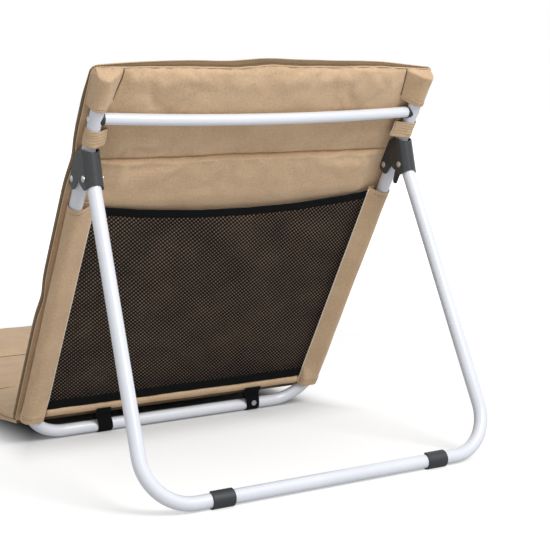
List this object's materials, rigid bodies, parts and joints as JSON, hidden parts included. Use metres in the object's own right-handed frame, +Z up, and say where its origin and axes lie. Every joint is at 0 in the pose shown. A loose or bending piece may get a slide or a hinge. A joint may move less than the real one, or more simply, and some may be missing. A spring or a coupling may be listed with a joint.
{
  "type": "folding floor chair",
  "caption": "Folding floor chair with a padded quilted mat on a bent-tube back frame, a folding rear leg with foot clips, and a mesh pocket behind.",
  "frame": {"origin": "on the floor, under the middle of the opened chair's overall length and width", "axes": "+Z up; the sitter looks along -Y, so +Y points to the rear leg's floor bar; +X is to the sitter's left"},
  "size_m": [0.5558, 1.3838, 0.566],
  "materials": {
    "white_tube": "semi-gloss white powder coat with a cool tint",
    "black_steel": "satin near-black coated steel",
    "zinc_steel": "bright zinc-plated steel",
    "black_plastic": "moulded charcoal plastic",
    "tan_canvas": "plain woven tan canvas over foam",
    "black_mesh": "open black knitted mesh",
    "black_webbing": "black woven tape"
  },
  "bodies": {
    "back": {"back_frame_tube": "white_tube", "tube_plug_left": "black_plastic", "tube_plug_right": "black_plastic", "cross_bar": "white_tube", "cross_bar_saddle_left": "black_plastic", "cross_bar_saddle_right": "black_plastic", "cross_bar_bolts": "white_tube", "cross_bar_inserts": "zinc_steel", "hinge_bracket_left": "black_steel", "hinge_bracket_right": "black_steel", "bracket_rivets": "zinc_steel", "pivot_rivets": "zinc_steel", "bracket_spacers": "zinc_steel", "pivot_washers": "black_plastic", "pivot_keeper_left": "black_plastic", "pivot_keeper_right": "black_plastic", "back_cushion": "tan_canvas", "sleeve_left": "tan_canvas", "sleeve_right": "tan_canvas", "tube_loop_left": "tan_canvas", "tube_loop_right": "tan_canvas", "tube_pocket_left": "tan_canvas", "tube_pocket_right": "tan_canvas", "lower_hem": "tan_canvas", "mesh_pocket": "black_mesh", "pocket_binding_top": "black_webbing", "pocket_binding_bottom": "black_webbing", "strap_left": "black_webbing", "strap_right": "black_webbing", "strap_studs": "zinc_steel"},
    "rear_leg": {"rear_leg_tube": "white_tube", "leg_end_plug_left": "black_plastic", "leg_end_plug_right": "black_plastic", "foot_clip_left": "black_plastic", "foot_clip_right": "black_plastic"},
    "seat": {"seat_pad_rear": "tan_canvas", "seat_pad_middle": "tan_canvas"},
    "seat_front": {"seat_pad_front": "tan_canvas"}
  },
  "joints": [
    {"name": "rear_leg_pivot", "type": "hinge", "parent": "back", "child": "rear_leg", "pos_m": [0, 0.50506, 0.41338], "axis": [1, 0, 0], "range_deg": [-57, 0]},
    {"name": "seat_fold", "type": "hinge", "parent": "back", "child": "seat", "pos_m": [0, 0.17, 0.0455], "axis": [1, 0, 0], "range_deg": [-113, 0]},
    {"name": "seat_front_fold", "type": "hinge", "parent": "seat", "child": "seat_front", "pos_m": [0, -0.3939, 0.0365], "axis": [1, 0, 0], "range_deg": [-176, 0]}
  ]
}
